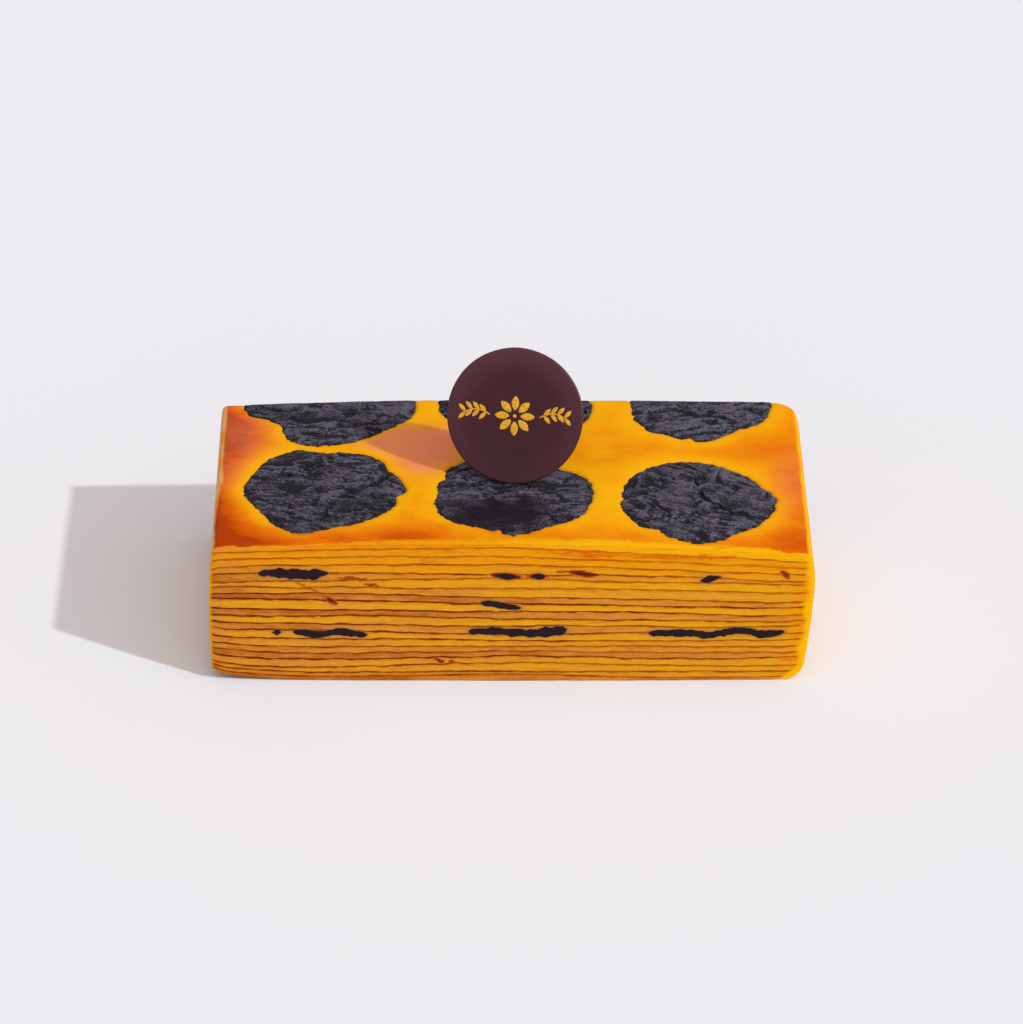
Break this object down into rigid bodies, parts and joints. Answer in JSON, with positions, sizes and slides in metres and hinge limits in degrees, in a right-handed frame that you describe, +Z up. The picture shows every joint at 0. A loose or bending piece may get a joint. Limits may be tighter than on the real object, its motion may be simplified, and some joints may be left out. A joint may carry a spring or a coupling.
{
  "type": "lapis legit layer cake half",
  "caption": "Half of a square, many-layered spiced butter cake with pressed prunes between layers and on top, and a chocolate disc standing on it.",
  "frame": {"origin": "on the table under the middle of the cake, the centre of the bottom of its box", "axes": "+X along the cake towards its right tin side, +Y from the front cut to the back cut, +Z up"},
  "size_m": [0.178, 0.087, 0.0847],
  "materials": {
    "crumb_yellow": "moist yellow butter cake, matt with a slight sheen",
    "crumb_tan": "browned butter cake, matt",
    "skin": "smooth golden baked skin, satin to glossy",
    "prune": "wrinkled, moist, blue-black",
    "chocolate": "dark chocolate, satin"
  },
  "bodies": {
    "root": {"layer_01": "crumb_tan", "layer_02": "crumb_yellow", "layer_03": "crumb_tan", "layer_04": "crumb_yellow", "layer_05": "crumb_tan", "layer_06": "crumb_yellow", "layer_07": "crumb_tan", "layer_08": "crumb_yellow", "layer_09": "crumb_tan", "layer_10": "crumb_yellow", "layer_11": "crumb_tan", "layer_12": "crumb_yellow", "layer_13": "crumb_tan", "layer_14": "crumb_yellow", "layer_15": "crumb_tan", "layer_16": "crumb_yellow", "layer_17": "crumb_tan", "layer_18": "crumb_yellow", "layer_19": "crumb_tan", "layer_20": "skin", "top_prune_front_left": "prune", "top_prune_front_middle": "prune", "top_prune_front_right": "prune", "top_prune_back_left": "prune", "top_prune_back_middle": "prune", "top_prune_back_right": "prune", "front_prune_upper_left": "prune", "front_prune_upper_middle_a": "prune", "front_prune_upper_middle_b": "prune", "front_prune_upper_right": "prune", "front_prune_middle": "prune", "front_prune_lower_left_tip": "prune", "front_prune_lower_left": "prune", "front_prune_lower_middle": "prune", "front_prune_lower_right": "prune", "back_prune_upper_left": "prune", "back_prune_upper_middle": "prune", "back_prune_upper_right": "prune", "back_prune_middle": "prune", "back_prune_lower_left": "prune", "back_prune_lower_middle": "prune", "back_prune_lower_right": "prune", "chocolate_disc": "chocolate"}
  },
  "joints": []
}
